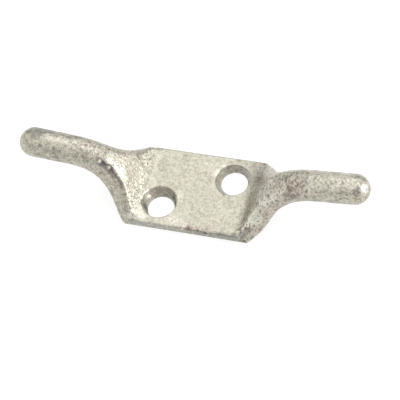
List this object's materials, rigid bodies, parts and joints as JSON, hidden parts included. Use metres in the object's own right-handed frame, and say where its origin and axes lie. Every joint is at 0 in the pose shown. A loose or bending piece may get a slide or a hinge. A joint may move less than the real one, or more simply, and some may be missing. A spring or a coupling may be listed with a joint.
{
  "type": "horn cleat",
  "caption": "Galvanised cast horn cleat: a flat plate with diagonally set countersunk screw holes, whose ends rise and narrow into round horns for belaying a rope.",
  "frame": {"origin": "centre of the flat mounting face", "axes": "+X along the horns, +Y across the plate, +Z away from the surface that the cleat is screwed to"},
  "size_m": [0.1, 0.025, 0.021],
  "materials": {
    "galvanised_iron": "hot-dip galvanised: pale, dull, finely mottled zinc with a few pits and rust-brown stains"
  },
  "bodies": {
    "root": {"cleat_casting": "galvanised_iron"}
  },
  "joints": []
}
